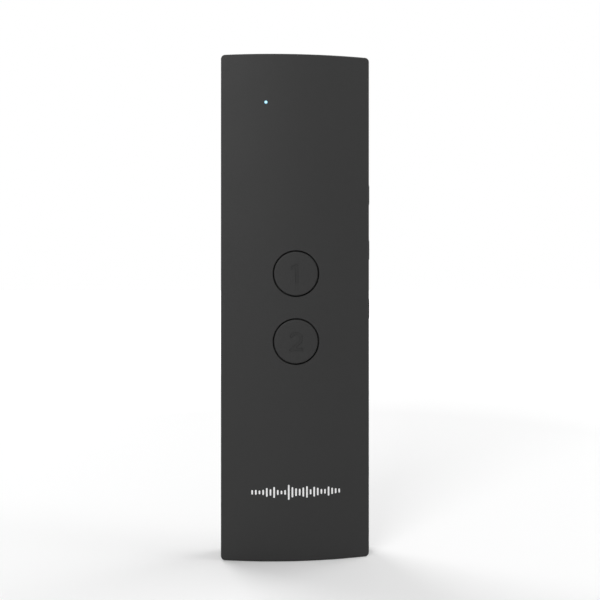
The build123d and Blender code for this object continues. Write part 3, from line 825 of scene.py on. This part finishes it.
def woven_sheet():
    """A thin closed sheet whose faces swell and sink where threads cross."""
    columns, levels = round(cloth_width / cloth_steps), round(cloth_length / cloth_steps)
    mesh = bmesh.new()
    sides = []
    for face, out in ((high.y, 1), (low.y, -1)):
        grid = []
        for k in range(levels + 1):
            row = []
            for i in range(columns + 1):
                inside = 0 < i < columns and 0 < k < levels
                wave = cloth_wave if inside and (i + k) % 2 else 0.0
                row.append(mesh.verts.new((low.x + cloth_width * i / columns, face - out * wave,
                                           low.z + cloth_length * k / levels)))
            grid.append(row)
        sides.append(grid)
    for grid in sides:
        for k in range(levels):
            for i in range(columns):
                mesh.faces.new((grid[k][i], grid[k][i + 1], grid[k + 1][i + 1], grid[k + 1][i]))
    rims = [[(0, i) for i in range(columns + 1)], [(k, columns) for k in range(levels + 1)],
            [(levels, i) for i in range(columns, -1, -1)], [(k, 0) for k in range(levels, -1, -1)]]
    back, front = sides
    for rim in rims:
        for (k, i), (m, j) in zip(rim, rim[1:]):
            mesh.faces.new((back[k][i], back[m][j], front[m][j], front[k][i]))
    bmesh.ops.recalc_face_normals(mesh, faces=mesh.faces)
    return mesh


woven_cloth = piece("woven_cloth", woven_sheet(), acoustic_cloth, "housing")
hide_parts("grille_cloth")
print("cloth, mm:", round(cloth_width / mm, 1), "by", round(cloth_length / mm, 1))

# %% [markdown]
# ### Front keys
#
# Both keys follow the front's shallow curve, so they vanish when a finger slides over
# them. A cylinder would stand proud at its sides, so the round body is turned from a profile
# whose front rings read their depth from the same arc as the shell. The edge is rounded by a
# quarter of a millimetre, as a mould needs, and that is what makes the ring round the key
# read as a dark line. Ears on the flange stop the key turning, and a post behind the face
# pushes the switch.

# %% The front's arc
front_radius = 97.4 * mm
shell_low, shell_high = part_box("front_shell")
front_apex = shell_low.y
front_edge = shell_high.x


def front_depth(x):
    """Y of the front at a distance x from the middle."""
    return front_apex + front_radius - math.sqrt(front_radius ** 2 - x ** 2)


print("drop of the front at its edge, mm:", round((front_depth(front_edge) - front_apex) / mm, 2))

# %% Profile of a front key
key_radius = 6.16 * mm
key_edge = 0.26 * mm
key_edge_steps = 4
key_rings = (0.0, 1.2, 2.4, 3.6, 4.8, 5.6)      # on the face, in mm from the middle
key_face_depth = 1.2 * mm
key_core_radius = 5.26 * mm
flange_radius = 7.16 * mm
flange_front = -3.75 * mm
flange_back = -3.05 * mm


def key_profile():
    """From the middle of the front to the middle of the back: each radius, and its Y at a given x."""
    follow = [(ring * mm, 0.0) for ring in key_rings]
    for step in range(key_edge_steps + 1):
        angle = math.radians(90.0) * step / key_edge_steps
        follow.append((key_radius - key_edge * (1 - math.sin(angle)), key_edge * (1 - math.cos(angle))))
    face_back = front_apex + key_face_depth
    level = [(key_radius, flange_front), (flange_radius, flange_front), (flange_radius, flange_back),
             (key_core_radius, flange_back), (key_core_radius, face_back), (0.0, face_back)]
    curved = [(radius, lambda x, sunk=sunk: front_depth(x) + sunk) for radius, sunk in follow]
    return curved + [(radius, lambda x, y=y: y) for radius, y in level]


print("rings of a key:", len(key_profile()))

# %% Turn a profile
turn_steps = 96


def turned(profile, centre_z):
    """Sweep a profile round a line parallel to Y."""
    mesh = bmesh.new()
    rings = []
    for radius, depth in profile:
        count = turn_steps if radius else 1
        angles = [2 * math.pi * i / turn_steps for i in range(count)]
        spots = [(radius * math.cos(a), radius * math.sin(a)) for a in angles]
        rings.append([mesh.verts.new((x, depth(x), centre_z + z)) for x, z in spots])
    for inner, outer in zip(rings, rings[1:]):
        for i in range(turn_steps):
            j = (i + 1) % turn_steps
            corners = [inner[i % len(inner)], outer[i % len(outer)],
                       outer[j % len(outer)], inner[j % len(inner)]]
            mesh.faces.new(list(dict.fromkeys(corners)))
    bmesh.ops.recalc_face_normals(mesh, faces=mesh.faces)
    return mesh


trial = turned(key_profile(), 0.0)
print("faces of a turned key:", len(trial.faces))
trial.free()

# %% [markdown]
# The post and the ears aren't round, so turning can't make them. They start as plain bars that
# reach a little into the turned body, and a boolean modifier works out where the two skins
# meet and keeps one. Its exact solver is slower than the fast one, and copes with faces
# that lie in one plane, as the ears' faces do. It can leave needles of no width along the
# cut, so these are dissolved at once.

# %% Bars for the post and the ears
post_half = 1.8 * mm
ear_end = 8.06 * mm
ear_half = 1.2 * mm
join_depth = 0.3 * mm         # how far a joined bar starts inside the key


def bar(low, high):
    """A plain bar between two corners, used only to join."""
    mesh = bmesh.new()
    bmesh.ops.create_cube(mesh, size=1.0)
    for vertex in mesh.verts:
        vertex.co = [l + (h - l) * (c + 0.5) for l, h, c in zip(low, high, vertex.co)]
    return mesh


def key_bars(centre_z):
    """The corners of a key's post and of its two ears."""
    post_front = front_apex + key_face_depth - join_depth
    corners = [((-post_half, post_front, centre_z - post_half),
                (post_half, flange_back, centre_z + post_half))]
    for side in (-1, 1):
        near, far = sorted((side * (key_core_radius + join_depth), side * ear_end))
        corners.append(((near, flange_front, centre_z - ear_half),
                        (far, flange_back, centre_z + ear_half)))
    return corners


print("bars joined to a key:", len(key_bars(0.0)))

# %% Join and cut
needle_width = 0.0005 * mm


def tool(mesh):
    """A loose helper object for joining or cutting."""
    data = bpy.data.meshes.new("tool")
    mesh.to_mesh(data)
    mesh.free()
    made = bpy.data.objects.new("tool", data)
    bpy.context.scene.collection.objects.link(made)
    return made


def shape(target, helper, operation):
    """Join a helper to a piece or cut it out of the piece, and throw the helper away."""
    change = target.modifiers.new("shape", "BOOLEAN")
    change.object = helper
    change.operation = operation
    change.solver = "EXACT"
    drawn = target.evaluated_get(bpy.context.evaluated_depsgraph_get())
    result = bpy.data.meshes.new_from_object(drawn)
    target.modifiers.clear()
    clean = bmesh.new()
    clean.from_mesh(result)
    bmesh.ops.dissolve_degenerate(clean, edges=clean.edges, dist=needle_width)
    clean.to_mesh(result)
    clean.free()
    target.data = result
    bpy.data.objects.remove(helper)


print("needles go below, mm:", needle_width / mm)

# %% [markdown]
# The numbers on the keys, the ink on the front and the raised marks on the side keys are all
# flat figures with a small height. Each is drawn as an outline in two numbers, a and b, and one
# function closes it into a solid: a top, a foot and the walls between. Where a and b lie on
# the object is left to a second function, so one outline can follow the curved front or
# stand on a side.

# %% Thin solids from outlines
def thin_solids(outlines, lay, rise, sink):
    """Closed thin solids: each outline is laid on a surface, a rise above it and a sink below."""
    mesh = bmesh.new()
    for outline in outlines:
        top = [mesh.verts.new(lay(a, b, rise)) for a, b in outline]
        foot = [mesh.verts.new(lay(a, b, -sink)) for a, b in outline]
        mesh.faces.new(top)
        mesh.faces.new(foot[::-1])
        for i in range(len(outline)):
            j = (i + 1) % len(outline)
            mesh.faces.new((top[j], top[i], foot[i], foot[j]))
    bmesh.ops.recalc_face_normals(mesh, faces=mesh.faces)
    return mesh


trial = thin_solids([[(0, 0), (1, 0), (0, 1)]], lambda a, b, rise: (a, b, rise), 1, 0)
print("faces from a triangle:", len(trial.faces))
trial.free()

# %% [markdown]
# Each front key carries its number, sunk into its face. A text object would bring a font's own
# outline, with far more points than a moulded number has. Here a stroke of even width is drawn:
# straight runs by their corners, and the round part of the 2 as two arcs.

# %% Outline of the 1
number_half = 2.7             # half the height, in mm like the rest of the outlines
stroke = 0.9
upright_right = 0.65
flag_tip = -1.45
flag_low, flag_high = 0.95, 1.85      # lower and upper corner of the flag's tip
flag_root = 1.55              # where the flag's lower side meets the upright
flag_slant = 0.15             # how far the flag's upper side starts right of the upright's left


def outline_one():
    """An upright stroke with a slanted flag."""
    left = upright_right - stroke
    return [(upright_right, number_half), (upright_right, -number_half), (left, -number_half),
            (left, flag_root), (flag_tip, flag_low), (flag_tip, flag_high),
            (left + flag_slant, number_half)]


print("points of the 1:", len(outline_one()))

# %% Outline of the 2
bowl = 1.95                   # outer radius of the round part
bowl_start, bowl_end = 168.0, -50.0      # degrees
bowl_steps = 14
heel = -2.26                  # where the slanted stroke meets the left end of the foot


def arc(middle, radius, start, end):
    """Points along an arc from one angle to another, in degrees."""
    angles = [math.radians(start + (end - start) * i / bowl_steps) for i in range(bowl_steps + 1)]
    return [(middle[0] + radius * math.cos(a), middle[1] + radius * math.sin(a)) for a in angles]


def outline_two():
    """A bowl, a slanted stroke and a foot."""
    centre = (0.0, number_half - bowl)
    foot = stroke - number_half
    ends = [(0.0, foot), (bowl, foot), (bowl, -number_half), (-bowl, -number_half), (-bowl, heel)]
    return (arc(centre, bowl, bowl_start, bowl_end) + ends
            + arc(centre, bowl - stroke, bowl_end, bowl_start))


print("points of the 2:", len(outline_two()))

# %% [markdown]
# A number drawn on with colour would look printed, so it is a real recess: its solid is cut out
# of the key. The cutter stands well out of the face, because a cutter that ends in the same
# surface leaves a ragged skin.

# %% Both keys
number_depth = 0.22 * mm
number_reach = 0.8 * mm       # how far the cutter stands out of the face


def engraved_key(body, number):
    """A front key with its post, its ears and its sunk number."""
    lowest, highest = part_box(body + "_cap")
    centre_z = (lowest.z + highest.z) / 2
    blank = turned(key_profile(), centre_z)
    made = piece(body + "_cap_numbered", blank, key_plastic, body)
    for near, far in key_bars(centre_z):
        shape(made, tool(bar(near, far)), "UNION")
    cutter = thin_solids([number], lambda a, b, rise: (a * mm, front_apex - rise, centre_z + b * mm),
                         number_reach, number_depth)
    shape(made, tool(cutter), "DIFFERENCE")
    settle(made)
    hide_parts(body + "_cap")
    return made


for body, number in (("key_one", outline_one()), ("key_two", outline_two())):
    made = engraved_key(body, number)
    print(made.name, "is finished with", len(made.data.polygons), "faces")
print("numbers sunk, mm:", round(number_depth / mm, 2))

# %% [markdown]
# ### Printed strip
#
# The lower front carries a fine white print. Here it is a row of thin upright
# bars, like the trace of a spoken sentence. Pad printing lays an ink film of some hundredths of
# a millimetre on the curve. A mask in the shell's finish could paint it, but its edges would be
# coarse, so every bar is a thin closed solid that follows the arc and
# sinks a little into the shell. Heights come from a sum of waves under a bell, so the row looks
# spoken and still comes out the same each time.

# %% Ink
pinhole_size = 0.05 * mm
pinhole_depth = 0.003 * mm
cover_size = 1.2 * mm


def ink_surface(recipe):
    """White ink of uneven cover with fine pinholes."""
    pinholes = recipe.noise(pinhole_size, roughness=0.6)
    cover = recipe.noise(cover_size)
    return {"Base Color": recipe.mix(grey(0.88), grey(0.95), cover),
            "Roughness": 0.48 + pinholes * 0.08, "Specular IOR Level": 0.4,
            "Normal": recipe.relief(pinholes, pinhole_depth)}


white_ink = finish("white_ink", ink_surface)
print("ink:", white_ink.name)

# %% Outline of a bar
end_steps = 6


def round_bar(centre, half_length, half_width):
    """The outline of an upright bar with round ends, from its middle and half sizes."""
    a, b = centre
    points = []
    for end in (1, -1):
        for step in range(end_steps + 1):
            angle = math.pi * step / end_steps + (0.0 if end > 0 else math.pi)
            points.append((a + half_width * math.cos(angle),
                           b + end * (half_length - half_width) + half_width * math.sin(angle)))
    return points


print("points of a bar:", len(round_bar((0, 0), 2, 1)))

# %% Heights of the bars
bar_count = 25
bar_least = 0.45 * mm          # half height of the lowest bar
bar_most = 2.2 * mm            # half height of the highest
bell_power = 0.6               # below 1, the bell has a broad top
# the strength of each wave, its turn from bar to bar and its start, in radians
voice_waves = ((0.55, 1.7, 0.4), (0.35, 2.9, 1.1), (0.25, 0.6, 0.0))


def bar_half_height(i):
    """Half the height of one bar: waves under a bell."""
    share = (i - (bar_count - 1) / 2) / (bar_count / 2)
    bell = math.cos(share * math.pi / 2) ** bell_power
    voice = abs(sum(strength * math.sin(turn * i + start) for strength, turn, start in voice_waves))
    return bar_least + (bar_most - bar_least) * min(1.0, voice) * bell


print("half heights, mm:", [round(bar_half_height(i) / mm, 2) for i in range(bar_count)])

# %% The row of bars
bar_pitch = 1.02 * mm
bar_half_width = 0.23 * mm
print_height = 19.4 * mm
ink_film = 0.02 * mm


def on_front(x, z, rise):
    """A point a rise ahead of the curved front."""
    return (x, front_depth(x) - rise, z)


centres = [((i - (bar_count - 1) / 2) * bar_pitch, print_height) for i in range(bar_count)]
rows = [round_bar(centre, bar_half_height(i), bar_half_width) for i, centre in enumerate(centres)]
piece("voice_print", thin_solids(rows, on_front, ink_film, ink_film), white_ink, "housing")
print("width of the row, mm:", round((bar_count - 1) * bar_pitch / mm, 2))

# %% [markdown]
# ### Marks on the side keys
#
# Keys on an edge are found by touch, so the two volume keys carry a raised plus and minus, and
# the power key above them stays smooth. A relief in the finish would show, but a finger would
# find nothing and the mesh would be bare. So the marks are moulded with the key: the same thin
# solids as the ink, only taller, and laid on the flat of the key.

# %% Raised marks
mark_rise = 0.06 * mm
mark_sink = 0.05 * mm
mark_half_length = 0.62 * mm
mark_half_width = 0.13 * mm


def cross(centre, half_length, half_width):
    """The outline of a plus sign."""
    a, b = centre
    l, w = half_length, half_width
    steps = [(w, w), (w, l), (-w, l), (-w, w), (-l, w), (-l, -w),
             (-w, -w), (-w, -l), (w, -l), (w, -w), (l, -w), (l, w)]
    return [(a + p, b + q) for p, q in steps]


def side_mark(body, outline):
    """A raised mark in the middle of a side key's face."""
    lowest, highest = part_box(body + "_cap")
    centre = ((lowest.y + highest.y) / 2, (lowest.z + highest.z) / 2)

    def on_key(y, z, rise):
        return (highest.x + rise, y, z)

    drawn = [outline(centre, mark_half_length, mark_half_width)]
    mark = thin_solids(drawn, on_key, mark_rise, mark_sink)
    return piece(body + "_mark", mark, side_key_plastic, body)


marks = [side_mark("volume_up_key", cross), side_mark("volume_down_key", round_bar)]
print("marks:", [mark.name for mark in marks])

# %% [markdown]
# ## Size of the finished thing
#
# The dressed model has to keep the size of the solids.
